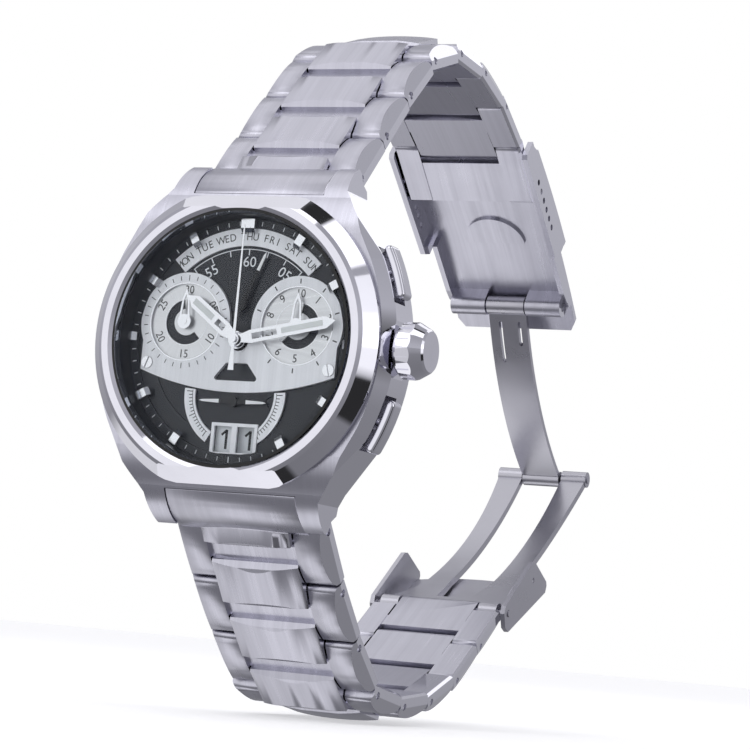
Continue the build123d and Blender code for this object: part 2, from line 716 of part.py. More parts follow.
# ---- clasp ----
def clasp_cover():
    wall_far = COVER_INNER_HALF + COVER_WALL
    roof_low = face_of(
        ThreePointArc((-6.0, 2.9), (12, 3.5), (31.0, 1.9)),
        Line((31.0, 1.9), (30.9, 1.1)),
        ThreePointArc((30.9, 1.1), (12, 2.65), (-6.0, 2.05)),
        Line((-6.0, 2.05), (-6.0, 2.9)),
    )
    roof = slab(roof_low, wall_far)
    plan = Pos(0, 0, -5) * extrude(
        polygon((-wall_far, -9), (wall_far, -9), (wall_far, 13.5), (10.2, 14.5), (10.2, 29.2), (8.9, 31.5),
                (-8.9, 31.5), (-10.2, 29.2), (-10.2, 14.5), (-wall_far, 13.5)),
        12,
    )
    roof = roof & plan
    wall = polygon(
        (-8.4, -1.2), (-7.9, -1.75), (12.2, -1.75), (13.4, -0.4), (13.4, 2.9), (-6.0, 2.6), (-7.4, 1.9), (-8.4, 1.9),
    )
    body = roof
    for side in strip(wall, COVER_INNER_HALF, wall_far):
        body += side
    rim = polygon((12.5, 0.4), (22.0, 0.2), (25.5, 0.6), (25.5, 2.0), (12.5, 2.9))
    for side in strip(rim, 9.4, 10.2):
        body += side
    for step in range(6):
        body -= cross_rod(SPRING_BAR_RADIUS + FIT, 20, 1.85 * (step - 1), 0.0)
    knuckle = Circle(1.6)
    neck = polygon((COVER_TO_BARREL - 1.6, 0), (COVER_TO_BARREL + 1.6, 0), (COVER_TO_BARREL + 1.6, 1.9), (COVER_TO_BARREL - 1.6, 2.1))
    for side in strip(Pos(COVER_TO_BARREL, 0) * knuckle + neck, BLADE_HALF + 0.25, 9.4):
        body += side
    body -= cross_rod(0.7 + FIT, 20, COVER_TO_BARREL)
    body -= box((-BLADE_HALF - 0.25, BLADE_HALF + 0.25), (COVER_TO_BARREL - 2.2, COVER_TO_BARREL + 2.2), (-3, 1.65))
    tab = face_of(ThreePointArc((5.0, 13.0), (0, 8.0), (-5.0, 13.0)), Line((-5.0, 13.0), (5.0, 13.0)))
    return body + Pos(0, 0, 2.2) * extrude(tab, 0.6)


def clasp_spring_bar():
    return cross_rod(SPRING_BAR_RADIUS, COVER_INNER_HALF + COVER_WALL - 0.1)


def arc_band(start, middle, end, thickness):
    """A curved strip seen from the side, through three (along, up) points."""
    (s0, n0), (s1, n1), (s2, n2) = start, middle, end
    half = thickness / 2
    return face_of(
        ThreePointArc((s0, n0 + half), (s1, n1 + half), (s2, n2 + half)),
        Line((s2, n2 + half), (s2, n2 - half)),
        ThreePointArc((s2, n2 - half), (s1, n1 - half), (s0, n0 - half)),
        Line((s0, n0 - half), (s0, n0 + half)),
    )


def clasp_blade():
    sag = -2.6
    strip_body = slab(arc_band((0, 0), (BLADE_LENGTH / 2, sag), (BLADE_LENGTH, 0), 0.9), BLADE_HALF)
    body = strip_body + cross_rod(1.5, BLADE_HALF) + cross_rod(1.3, BLADE_HALF, BLADE_LENGTH)
    body -= cross_rod(0.7 + RUN, 10)
    body -= cross_rod(0.75, 10, BLADE_LENGTH)
    for x, far in ((-1.35, 9.5), (1.9, 6.5)):
        body -= Pos(x, 2.4, -4) * extrude(Pos(0, (far - 2.4) / 2) * SlotOverall(far - 2.4, 0.55, rotation=90), 5)
    return body


def clasp_barrel_pin():
    return cross_rod(0.7, 9.3)


def fork_outline():
    """Half of the fork seen from above: a broad root, a crossbar and one long tine."""
    knuckle = CENTRE_HALF + 0.35
    return face_of(
        Polyline((knuckle, -1.2), (FORK_ROOT_HALF, -1.2), (FORK_ROOT_HALF, 3.4)),
        ThreePointArc((FORK_ROOT_HALF, 3.4), (8.1, 7.5), (7.2, 14.0)),
        ThreePointArc((7.2, 14.0), (6.9, 31.0), (TINE_OUTER, FORK_LENGTH)),
        Polyline(
            (TINE_OUTER, FORK_LENGTH), (TINE_INNER, FORK_LENGTH), (TINE_INNER, 13.0), (2.7, 4.9), (0, 4.9), (0, 3.4),
            (knuckle, 3.4), (knuckle, -1.2),
        ),
    )


def clasp_fork():
    bulge = 3.2
    band = slab(arc_band((0, 0), (FORK_LENGTH / 2, bulge), (FORK_LENGTH, 0), 1.1), 12)
    half = Pos(0, 0, -3) * extrude(fork_outline(), 9)
    body = band & (half + mirror(half, Plane.YZ))
    for piece in strip(Circle(1.45), CENTRE_HALF + 0.35, FORK_ROOT_HALF):
        body += piece
    for piece in strip(Pos(FORK_LENGTH, 0) * Circle(1.3), TINE_INNER, TINE_OUTER):
        body += piece
    body -= cross_rod(PIN_RADIUS + RUN, 20)
    return body - cross_rod(STUD_RADIUS + FIT, 20, FORK_LENGTH)


def mid_pivot_studs():
    """The mid pivot as two studs, with the blade's eye free between them."""
    one = Pos((TINE_INNER + STUD_END) / 2, FORK_LENGTH, 0) * Rot(0, 90, 0) * Cylinder(STUD_RADIUS, STUD_END - TINE_INNER)
    return one, mirror(one, Plane.YZ)


def clasp_root_pin():
    return cross_rod(PIN_RADIUS, FLAP_INNER_HALF + FLAP_WALL + 0.15)


def safety_flap():
    ear = polygon(
        (-1.7, -0.6), (-1.7, 1.7), (-0.7, 2.75), (15.9, 2.75), (16.7, 1.9), (16.7, 1.2), (12.6, -3.6), (11.5, -4.0),
        (-0.9, -1.6),
    )
    reach = FLAP_INNER_HALF + FLAP_WALL / 2
    plate = face_of(
        Polyline((-reach, 15.4), (-reach, 4.6), (reach, 4.6), (reach, 15.4)),
        ThreePointArc((reach, 15.4), (0, 17.4), (-reach, 15.4)),
    )
    body = Pos(0, 0, 2.1) * extrude(plate, 0.65)
    for side in strip(ear, FLAP_INNER_HALF, FLAP_INNER_HALF + FLAP_WALL):
        body += side
    body -= cross_rod(PIN_RADIUS + RUN, 20)
    for side in (1, -1):
        body -= Pos(side * (FLAP_INNER_HALF + FLAP_WALL), 11.25, -1.1) * Sphere(0.42)
    return body


def write_case():
    write_head("case_middle", case_middle())
    write_head("case_back", case_back())
    write_head("case_back_screws", *case_back_screws())
    write_head("bezel", bezel())
    write_head("crystal", crystal())
    write_head("gaskets", *gaskets())
    write_head("chapter_ring", chapter_ring())
    write_head("case_tubes", *case_tubes())
    write_head("end_link_pins", *end_link_pins())


def write_dial():
    write_head("dial_plate", dial_plate())
    write_head("mask_plate", mask_plate())
    write_head("mask_screws", *mask_screws())
    write_head("counter_discs", *counter_discs())
    write_head("day_arc", day_arc())
    write_head("date_frame_and_scales", date_frame(), *scale_brackets())
    write_head("hour_markers", *hour_markers())
    write_head("date_units_disc", date_units_disc())
    write_head("date_tens_disc", date_tens_disc())


def write_hands():
    write_head("hour_hand", hour_hand())
    write_head("minute_hand", minute_hand())
    write_head("chronograph_seconds_hand", chronograph_seconds_hand())
    write_head("minute_counter_hand", counter_hand(-1))
    write_head("hour_counter_hand", counter_hand(1))
    write_head("small_seconds_hand", small_seconds_hand())
    write_head("lower_hand", lower_hand())


def write_movement():
    write_head("movement_holder", movement_holder())
    write_head("main_plate", main_plate())
    write_head("train_bridge", train_bridge())
    write_head("battery", battery())
    write_head("circuit_and_coil", circuit_board(), motor_coil())


def write_controls():
    write_head("crown", crown())
    write_head("winding_stem", winding_stem())
    write_head("setting_lever", setting_lever())
    for name, frame in zip(("start_pusher", "reset_pusher"), pusher_frames()):
        write_head(name, pusher(frame))


def fixed_centre_piece(side):
    """The centre piece of an end link, one pitch behind the first hinge pin."""
    angle = side * END_LINK_ANGLE
    y = FIRST_PIVOT[0] - PITCH * cos(radians(angle))
    z = side * FIRST_PIVOT[1] - PITCH * sin(radians(angle))
    return placed((y, z), angle, side, [centre_piece(6.4, 2.85)])[0]


def write_bracelet():
    body = STAND * end_link()
    for side, name in ((1, "end_link_12"), (-1, "end_link_6")):
        half = body if side > 0 else mirror(body, Plane.XY)
        write(name, half + fixed_centre_piece(side))
    for side, name, angles in ((1, "top_link", TOP_ANGLES), (-1, "bottom_link", BOTTOM_ANGLES)):
        pivots, _ = chain_pivots(side, angles)
        for index, (pivot, angle) in enumerate(zip(pivots, angles)):
            last_upper = side > 0 and index == len(angles) - 1
            pieces = cover_end_link(index) if last_upper else link(index)
            write(f"{name}_{index + 1}", *placed(pivot, angle, side, pieces))


def write_clasp():
    top, _ = chain_pivots(1, TOP_ANGLES)
    last_y, last_z = top[-1]
    bar = (
        last_y + SPRING_BAR_REACH * cos(radians(TOP_ANGLES[-1])),
        last_z + SPRING_BAR_REACH * sin(radians(TOP_ANGLES[-1])),
    )
    barrel = (
        bar[0] + COVER_TO_BARREL * cos(radians(COVER_ANGLE)),
        bar[1] + COVER_TO_BARREL * sin(radians(COVER_ANGLE)),
    )
    _, root = chain_pivots(-1, BOTTOM_ANGLES)
    write("clasp_cover", *placed(bar, COVER_ANGLE, 1, [clasp_cover()]))
    write("clasp_spring_bar", *placed(bar, COVER_ANGLE, 1, [clasp_spring_bar()]))
    write("clasp_barrel_pin", *placed(barrel, COVER_ANGLE, 1, [clasp_barrel_pin()]))
    write("clasp_blade", *placed(barrel, BLADE_ANGLE, 1, [clasp_blade()]))
    write("clasp_fork", *placed(root, FORK_ANGLE, -1, [clasp_fork(), *mid_pivot_studs()]))
    write("clasp_root_pin", *placed(root, FORK_ANGLE, -1, [clasp_root_pin()]))
    write("safety_flap", *placed(root, FLAP_ANGLE, -1, [safety_flap()]))


os.makedirs("parts", exist_ok=True)
write_case()
write_dial()
write_hands()
write_movement()
write_controls()
write_bracelet()
write_clasp()
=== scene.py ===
import bmesh
import bpy
import json
from math import cos, pi, radians, sin, tau
from mathutils import Matrix, Vector


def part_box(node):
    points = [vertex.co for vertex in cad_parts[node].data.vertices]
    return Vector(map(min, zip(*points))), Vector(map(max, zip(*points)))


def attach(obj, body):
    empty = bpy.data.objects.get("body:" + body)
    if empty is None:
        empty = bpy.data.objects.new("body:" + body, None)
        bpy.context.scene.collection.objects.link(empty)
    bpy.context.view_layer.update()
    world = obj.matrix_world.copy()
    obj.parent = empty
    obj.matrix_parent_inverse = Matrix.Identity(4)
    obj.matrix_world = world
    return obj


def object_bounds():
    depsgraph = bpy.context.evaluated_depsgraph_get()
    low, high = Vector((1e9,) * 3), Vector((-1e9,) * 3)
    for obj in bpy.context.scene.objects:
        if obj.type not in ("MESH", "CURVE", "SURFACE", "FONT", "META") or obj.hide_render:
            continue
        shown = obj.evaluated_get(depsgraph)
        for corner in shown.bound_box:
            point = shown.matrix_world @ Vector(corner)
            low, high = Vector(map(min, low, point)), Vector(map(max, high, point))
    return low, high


# Looks of a steel chronograph wristwatch with an open folding clasp.
# The watch head's details are laid out on a bench, dial up along +Z with 12 o'clock along +Y,
# and BENCH turns them upright into the frame, where the dial faces -Y.

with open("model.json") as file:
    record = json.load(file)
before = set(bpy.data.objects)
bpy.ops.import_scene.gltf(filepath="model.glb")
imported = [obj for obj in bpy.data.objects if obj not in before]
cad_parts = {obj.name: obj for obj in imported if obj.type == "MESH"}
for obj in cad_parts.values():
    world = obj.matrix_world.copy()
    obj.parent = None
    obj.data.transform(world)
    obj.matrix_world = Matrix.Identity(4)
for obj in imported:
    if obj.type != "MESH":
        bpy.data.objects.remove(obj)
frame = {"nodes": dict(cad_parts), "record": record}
CAD_BOX = [list(corner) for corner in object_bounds()]
NODES = frame["nodes"]
MM = 0.001
BENCH = Matrix.Rotation(pi / 2, 4, "X")
INK_THICKNESS = 0.012 * MM


def surface(node):
    """Height of a node's dial-side face above the case back."""
    return -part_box(node)[0][1]


def pivot(name):
    """Bench position (across, up) of a joint on the dial."""
    joint = next(j for j in frame["record"]["behaviour"]["joints"] if j["name"] == name)
    return joint["pos_m"][0], joint["pos_m"][2]


LEFT_COUNTER = pivot("minute_counter_turn")
RIGHT_COUNTER = pivot("hour_counter_turn")
LOWER_HUB = pivot("lower_indicator_turn")
DIAL = surface("dial_plate")
MASK = surface("mask_plate")
RING_FLOOR = DIAL + 0.25 * MM
BRACKET_CENTRE = (0, -7.0 * MM)
EDGE_WIDTH = 0.14 * MM


# ---- materials ----
STEEL = (0.60, 0.595, 0.67)
BRIGHT = (0.77, 0.765, 0.83)
GRAIN_DEPTH = 0.01 * MM
PRINT_GRAIN_DEPTH = 0.005 * MM
GROOVE_DEPTH = 0.004 * MM
RAYS_ROUND_CENTRE = 26.0


def material(name):
    """A new material with its node tree, and its Principled shader."""
    mat = bpy.data.materials.new(name)
    mat.use_nodes = True
    return mat, mat.node_tree.nodes, mat.node_tree.links, mat.node_tree.nodes["Principled BSDF"]


def coordinates(nodes, links, scale):
    """Object coordinates multiplied by a scale per axis, in cells per metre."""
    source = nodes.new("ShaderNodeTexCoord")
    mapping = nodes.new("ShaderNodeMapping")
    mapping.inputs["Scale"].default_value = scale
    links.new(source.outputs["Object"], mapping.inputs["Vector"])
    return mapping.outputs["Vector"]


def noise(nodes, links, vector, detail=4.0, roughness=0.6):
    """Fractal noise, mostly between 0.3 and 0.7."""
    texture = nodes.new("ShaderNodeTexNoise")
    texture.inputs["Scale"].default_value = 1.0
    texture.inputs["Detail"].default_value = detail
    texture.inputs["Roughness"].default_value = roughness
    links.new(vector, texture.inputs["Vector"])
    return texture.outputs["Fac"]


def remap(nodes, links, value, low, high, from_low=0.3, from_high=0.7):
    """A value stretched from one range to another and clamped."""
    node = nodes.new("ShaderNodeMapRange")
    node.inputs["From Min"].default_value = from_low
    node.inputs["From Max"].default_value = from_high
    node.inputs["To Min"].default_value = low
    node.inputs["To Max"].default_value = high
    links.new(value, node.inputs["Value"])
    return node.outputs["Result"]


def tint(nodes, links, factor, dark, light):
    """A colour that goes from dark to light with a factor."""
    node = nodes.new("ShaderNodeMix")
    node.data_type = "RGBA"
    node.inputs["A"].default_value = (*dark, 1)
    node.inputs["B"].default_value = (*light, 1)
    links.new(factor, node.inputs["Factor"])
    return node.outputs["Result"]


def bump(nodes, links, height, strength, distance):
    """A normal that leans with a height value."""
    node = nodes.new("ShaderNodeBump")
    node.inputs["Strength"].default_value = strength
    node.inputs["Distance"].default_value = distance
    links.new(height, node.inputs["Height"])
    return node.outputs["Normal"]


def arithmetic(nodes, links, operation, first, second):
    """One maths node; each input is a number, another node's output, or None."""
    node = nodes.new("ShaderNodeMath")
    node.operation = operation
    for socket, value in zip(node.inputs, (first, second)):
        if isinstance(value, float):
            socket.default_value = value
        elif value is not None:
            links.new(value, socket)
    return node.outputs["Value"]


def sideways_mask(nodes, links, low, high):
    """0 on faces that look along the band, 1 on its polished flanks and bevels."""
    source = nodes.new("ShaderNodeTexCoord")
    split = nodes.new("ShaderNodeSeparateXYZ")
    links.new(source.outputs["Normal"], split.inputs["Vector"])
    size = arithmetic(nodes, links, "ABSOLUTE", split.outputs["X"], None)
    return remap(nodes, links, size, 0.0, 1.0, low, high)


def blend_values(nodes, links, factor, first, second):
    """A number that goes from one node's value to another value."""
    mix = nodes.new("ShaderNodeMix")
    links.new(factor, mix.inputs["Factor"])
    links.new(first, mix.inputs["A"])
    mix.inputs["B"].default_value = second
    return mix.outputs["Result"]


def brushed_steel(name, tone, flank=(0.30, 0.36), shine=(0.34, 0.27), metallic=1.0):
    """Steel brushed lengthwise on its broad faces and mirror polished on its flanks."""
    mat, nodes, links, shader = material(name)
    fine = noise(nodes, links, coordinates(nodes, links, (5200, 60, 60)), 5.0, 0.65)
    broad = noise(nodes, links, coordinates(nodes, links, (900, 20, 20)), 2.0)
    cloud = noise(nodes, links, coordinates(nodes, links, (90, 90, 90)), 3.0)
    polished = sideways_mask(nodes, links, *flank)
    grain = arithmetic(nodes, links, "ADD", fine, broad)
    dark = tuple(channel * 0.92 for channel in tone)
    colour = tint(nodes, links, remap(nodes, links, grain, 0.0, 1.0, 0.75, 1.25), dark, tone)
    even = nodes.new("ShaderNodeMix")
    even.data_type = "RGBA"
    even.inputs["B"].default_value = (*BRIGHT, 1)
    links.new(polished, even.inputs["Factor"])
    links.new(colour, even.inputs["A"])
    links.new(even.outputs["Result"], shader.inputs["Base Color"])
    rough = remap(nodes, links, grain, *shine, 0.7, 1.3)
    rough = arithmetic(nodes, links, "ADD", rough, remap(nodes, links, cloud, -0.03, 0.03))
    links.new(blend_values(nodes, links, polished, rough, 0.07), shader.inputs["Roughness"])
    depth = arithmetic(nodes, links, "MULTIPLY", grain, arithmetic(nodes, links, "SUBTRACT", 1.0, polished))
    links.new(bump(nodes, links, depth, 0.2, GRAIN_DEPTH), shader.inputs["Normal"])
    shader.inputs["Metallic"].default_value = metallic
    return mat


def polished_steel(name, tone, roughness=0.05):
    """Mirror-polished steel with faint hairlines and smears."""
    mat, nodes, links, shader = material(name)
    smear = noise(nodes, links, coordinates(nodes, links, (160, 160, 160)), 3.0)
    hair = noise(nodes, links, coordinates(nodes, links, (1500, 90, 1500)), 5.0, 0.7)
    colour = tint(nodes, links, remap(nodes, links, smear, 0.0, 1.0), tuple(c * 0.94 for c in tone), tone)
    links.new(colour, shader.inputs["Base Color"])
    links.new(remap(nodes, links, smear, roughness * 0.7, roughness * 1.6), shader.inputs["Roughness"])
    links.new(bump(nodes, links, hair, 0.012, GRAIN_DEPTH), shader.inputs["Normal"])
    shader.inputs["Metallic"].default_value = 1.0
    return mat


def satin_steel(name, tone, roughness=0.3):
    """Fine blasted steel."""
    mat, nodes, links, shader = material(name)
    speckle = noise(nodes, links, coordinates(nodes, links, (6000, 6000, 6000)), 3.0)
    cloud = noise(nodes, links, coordinates(nodes, links, (120, 120, 120)), 3.0)
    colour = tint(nodes, links, remap(nodes, links, cloud, 0.0, 1.0), tuple(c * 0.9 for c in tone), tone)
    links.new(colour, shader.inputs["Base Color"])
    links.new(remap(nodes, links, cloud, roughness - 0.04, roughness + 0.06), shader.inputs["Roughness"])
    links.new(bump(nodes, links, speckle, 0.1, GRAIN_DEPTH), shader.inputs["Normal"])
    shader.inputs["Metallic"].default_value = 1.0
    return mat


def turned_metal(name, centre, tone, roughness, metallic, grooves):
    """Metal with rays round a centre on the dial, and fine circular grooves."""
    mat, nodes, links, shader = material(name)
    source = nodes.new("ShaderNodeTexCoord")
    shift = nodes.new("ShaderNodeVectorMath")
    shift.operation = "SUBTRACT"
    shift.inputs[1].default_value = (centre[0], 0, centre[1])
    links.new(source.outputs["Object"], shift.inputs[0])
    split = nodes.new("ShaderNodeSeparateXYZ")
    links.new(shift.outputs["Vector"], split.inputs["Vector"])
    angle = arithmetic(nodes, links, "ARCTAN2", split.outputs["Z"], split.outputs["X"])
    join = nodes.new("ShaderNodeCombineXYZ")
    links.new(arithmetic(nodes, links, "MULTIPLY", angle, RAYS_ROUND_CENTRE), join.inputs["X"])
    rays = noise(nodes, links, join.outputs["Vector"], 4.0)
    flat = nodes.new("ShaderNodeCombineXYZ")
    links.new(split.outputs["X"], flat.inputs["X"])
    links.new(split.outputs["Z"], flat.inputs["Y"])
    length = nodes.new("ShaderNodeVectorMath")
    length.operation = "LENGTH"
    links.new(flat.outputs["Vector"], length.inputs[0])
    phase = arithmetic(nodes, links, "MULTIPLY", length.outputs["Value"], tau / grooves)
    wave = arithmetic(nodes, links, "SINE", phase, None)
    colour = tint(nodes, links, remap(nodes, links, rays, 0.0, 1.0), tuple(c * 0.82 for c in tone), tone)
    links.new(colour, shader.inputs["Base Color"])
    links.new(remap(nodes, links, rays, roughness + 0.06, roughness - 0.05), shader.inputs["Roughness"])
    links.new(bump(nodes, links, wave, 0.25, GROOVE_DEPTH), shader.inputs["Normal"])
    shader.inputs["Metallic"].default_value = metallic
    return mat


def paint(name, tone, roughness, grain=9000, strength=0.08):
    """Printed, moulded or lacquered colour with a fine grain."""
    mat, nodes, links, shader = material(name)
    speckle = noise(nodes, links, coordinates(nodes, links, (grain, grain, grain)), 3.0)
    cloud = noise(nodes, links, coordinates(nodes, links, (300, 300, 300)), 3.0)
    colour = tint(nodes, links, remap(nodes, links, cloud, 0.0, 1.0), tuple(c * 0.9 for c in tone), tone)
    links.new(colour, shader.inputs["Base Color"])
    links.new(remap(nodes, links, cloud, roughness - 0.04, roughness + 0.05), shader.inputs["Roughness"])
    links.new(bump(nodes, links, speckle, strength, PRINT_GRAIN_DEPTH), shader.inputs["Normal"])
    return mat


def crystal_glass():
    """Clear flat crystal: see-through, with a mirror sheen that grows towards the edge of sight."""
    mat, nodes, links, shader = material("crystal")
    nodes.remove(shader)
    clear = nodes.new("ShaderNodeBsdfTransparent")
    clear.inputs["Color"].default_value = (0.975, 0.985, 0.99, 1)
    gloss = nodes.new("ShaderNodeBsdfGlossy")
    gloss.inputs["Roughness"].default_value = 0.02
    gloss.inputs["Color"].default_value = (0.9, 0.93, 1.0, 1)
    edge = nodes.new("ShaderNodeFresnel")
    edge.inputs["IOR"].default_value = 1.2
    smear = noise(nodes, links, coordinates(nodes, links, (90, 90, 90)), 2.0)
    links.new(bump(nodes, links, smear, 0.02, GRAIN_DEPTH), gloss.inputs["Normal"])
    mix = nodes.new("ShaderNodeMixShader")
    links.new(edge.outputs["Fac"], mix.inputs["Fac"])
    links.new(clear.outputs["BSDF"], mix.inputs[1])
    links.new(gloss.outputs["BSDF"], mix.inputs[2])
    links.new(mix.outputs["Shader"], nodes["Material Output"].inputs["Surface"])
    return mat


LOOKS = {
    "steel_brushed": brushed_steel("steel_brushed", STEEL),
    "steel_polished": polished_steel("steel_polished", BRIGHT),
    "steel_satin": satin_steel("steel_satin", (0.56, 0.555, 0.61)),
    "sapphire": crystal_glass(),
    "dial_black": paint("dial_black", (0.006, 0.008, 0.016), 0.32, 30000, 0.01),
    "dial_silver": brushed_steel("dial_silver", (0.93, 0.93, 0.95), (2.0, 3.0), (0.55, 0.45), 0.45),
    "hand_steel": polished_steel("hand_steel", (0.85, 0.85, 0.87), 0.12),
    "gasket_rubber": paint("gasket_rubber", (0.02, 0.02, 0.02), 0.6),
    "date_white": paint("date_white", (0.86, 0.88, 0.90), 0.5),
    "movement_metal": satin_steel("movement_metal", (0.62, 0.58, 0.48)),
    "holder_plastic": paint("holder_plastic", (0.10, 0.10, 0.11), 0.5),
    "circuit_green": paint("circuit_green", (0.02, 0.12, 0.05), 0.4),
}
INK_BLACK = paint("ink_black", (0.012, 0.012, 0.014), 0.5)
INK_WHITE = paint("ink_white", (0.85, 0.86, 0.88), 0.45)
LUME = paint("lume", (0.84, 0.86, 0.84), 0.6, 5000, 0.3)


def two_tone(name, centre, change):
    """A hand that is black near its pivot and white beyond a radius."""
    mat, nodes, links, shader = material(name)
    source = nodes.new("ShaderNodeTexCoord")
    flat = nodes.new("ShaderNodeVectorMath")
    flat.operation = "MULTIPLY_ADD"
    flat.inputs[1].default_value = (1, 0, 1)
    flat.inputs[2].default_value = (-centre[0], 0, -centre[1])
    links.new(source.outputs["Object"], flat.inputs[0])
    length = nodes.new("ShaderNodeVectorMath")
    length.operation = "LENGTH"
    links.new(flat.outputs["Vector"], length.inputs[0])
    outside = remap(nodes, links, length.outputs["Value"], 0.0, 1.0, change, change + 0.05 * MM)
    colour = tint(nodes, links, outside, (0.012, 0.012, 0.015), (0.9, 0.9, 0.9))
    links.new(colour, shader.inputs["Base Color"])
    speckle = noise(nodes, links, coordinates(nodes, links, (6000, 6000, 6000)), 2.0)
    links.new(remap(nodes, links, speckle, 0.35, 0.5), shader.inputs["Roughness"])
    return mat


def dress(node, look):
    """Gives every slot of a CAD node one material."""
    slots = NODES[node].material_slots
    if not slots:
        NODES[node].data.materials.append(look)
    for slot in slots:
        slot.material = look


def dress_nodes():
    """Materials for the CAD nodes: one per slot, and three of their own on the dial."""
    for entry in frame["record"]["subparts"]:
        dress(entry["node"], LOOKS[entry["material_slot"]])
    groove_pitch = 0.22 * MM
    seconds_white_from, lower_white_from = 4.9 * MM, 1.9 * MM
    rays = turned_metal("counter_rays", LEFT_COUNTER, (0.80, 0.80, 0.81), 0.30, 0.75, groove_pitch)
    dress("counter_discs", rays)
    seconds_hub = pivot("small_seconds_turn")
    dress("small_seconds_hand", two_tone("seconds_hand_paint", seconds_hub, seconds_white_from))
    dress("lower_hand", two_tone("lower_hand_paint", LOWER_HUB, lower_white_from))


# Bracelet links have slightly rounded edges.
SOFT_EDGED = [f"{end}_link_{index}" for end in ("top", "bottom") for index in range(1, 9)]
SOFT_EDGED += ["end_link_12", "end_link_6"]


def soften(node, width, angle=28):
    """Narrow rounded edges that catch the light."""
    piece = NODES[node]
    weld = piece.modifiers.new("weld", "WELD")
    weld.merge_threshold = 0.002 * MM
    bevel = piece.modifiers.new("bevel", "BEVEL")
    bevel.width = width
    bevel.segments = 2
    bevel.limit_method = "ANGLE"
    bevel.angle_limit = radians(angle)
    bevel.harden_normals = True


# ---- printing on the dial ----
def finish_piece(name, build, look, body):
    """One named piece from a bmesh in bench coordinates, riding on a body."""
    mesh = bpy.data.meshes.new(name)
    build.to_mesh(mesh)
    build.free()
    mesh.transform(BENCH)
    mesh.materials.append(look)
    piece = bpy.data.objects.new(name, mesh)
    bpy.context.scene.collection.objects.link(piece)
    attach(piece, body)


def spot(centre, radius, clockwise):
    """A point on a dial circle, its angle counted clockwise from 12 o'clock."""
    turn = radians(clockwise)
    return centre[0] + radius * sin(turn), centre[1] + radius * cos(turn)


def add_bar(build, at, size, clockwise, low, high):
    """A flat bar of (width, length), its length turned clockwise from 12 o'clock."""
    middle = Matrix.Translation((at[0], at[1], (low + high) / 2))
    turn = Matrix.Rotation(-radians(clockwise), 4, "Z")
    stretch = Matrix.Diagonal((size[0], size[1], high - low, 1))
    bmesh.ops.create_cube(build, size=1.0, matrix=middle @ turn @ stretch)


def add_arc(build, centre, inner, outer, start, end, low, high, steps=48):
    """A ring sector between two clockwise angles, as a closed band."""
    rows = []
    for step in range(steps + 1):
        angle = start + (end - start) * step / steps
        corners = []
        for radius, height in ((inner, low), (outer, low), (outer, high), (inner, high)):
            x, y = spot(centre, radius, angle)
            corners.append(build.verts.new((x, y, height)))
        rows.append(corners)
    for first, second in zip(rows, rows[1:]):
        for corner in range(4):
            after = (corner + 1) % 4
            build.faces.new((first[corner], first[after], second[after], second[corner]))
    build.faces.new(rows[0][::-1])
    build.faces.new(rows[-1])


def add_text(build, words, at, height, clockwise, level, squeeze=0.92):
    """Flat lettering centred on a point, turned clockwise."""
    curve = bpy.data.curves.new("lettering", "FONT")
    curve.body = words
    curve.size = height * 1.38
    curve.align_x = "CENTER"
    curve.align_y = "CENTER"
    curve.extrude = INK_THICKNESS / 2
    curve.resolution_u = 4
    holder = bpy.data.objects.new("lettering", curve)
    bpy.context.scene.collection.objects.link(holder)
    bpy.context.view_layer.update()
    mesh = bpy.data.meshes.new_from_object(holder)
    place = Matrix.Translation((at[0], at[1], level + INK_THICKNESS / 2))
    place = place @ Matrix.Rotation(-radians(clockwise), 4, "Z") @ Matrix.Diagonal((squeeze, 1, 1, 1))
    mesh.transform(place)
    build.from_mesh(mesh)
    bpy.data.objects.remove(holder)
    bpy.data.meshes.remove(mesh)
    bpy.data.curves.remove(curve)


def upright(clockwise):
    """Turns lettering on the lower half of a circle the right way up."""
    turn = clockwise % 360
    return turn if turn <= 90 or turn >= 270 else turn + 180


def minute_track():
    """Ticks on the ring round the dial, longer at the fives."""
    build = bmesh.new()
    radius = 15.35 * MM
    for minute in range(60):
        size = (0.16 * MM, 0.75 * MM) if minute % 5 == 0 else (0.10 * MM, 0.55 * MM)
        at = spot((0, 0), radius, minute * 6)
        add_bar(build, at, size, minute * 6, RING_FLOOR, RING_FLOOR + INK_THICKNESS)
    finish_piece("minute_track", build, INK_WHITE, "head")


def seconds_scale():
    """A short scale under the day names: an arc, seven ticks and three numbers."""
    build = bmesh.new()
    level = DIAL + INK_THICKNESS
    reach, steps = 40, 6
    outer, numbers = 12.06, 10.3
    add_arc(build, (0, 0), (outer - 0.11) * MM, outer * MM, -reach, reach, DIAL, level)
    for step in range(steps + 1):
        angle = -reach + step * 2 * reach / steps
        length = 1.15 if step in (0, steps) else 0.85
        at = spot((0, 0), (outer - length / 2) * MM, angle)
        add_bar(build, at, (0.14 * MM, length * MM), angle, DIAL, level)
    for words, angle in (("55", -30), ("60", 1), ("05", 31)):
        add_text(build, words, spot((0, 0), numbers * MM, angle), 1.4 * MM, angle, DIAL, 1.0)
    finish_piece("seconds_scale", build, INK_WHITE, "head")


def day_names():
    """Seven day names letter by letter round the day arc, Thursday in the middle."""
    build = bmesh.new()
    level = surface("day_arc")
    name_step, letter_step = 13.9, 3.75
    for index, day in enumerate(("MON", "TUE", "WED", "THU", "FRI", "SAT", "SUN")):
        middle = (index - 3) * name_step
        for letter, step in zip(day, (-1, 0, 1)):
            angle = middle + step * letter_step
            add_text(build, letter, spot((0, 0), 13.55 * MM, angle), 1.02 * MM, angle, level)
    finish_piece("day_names", build, INK_BLACK, "head")


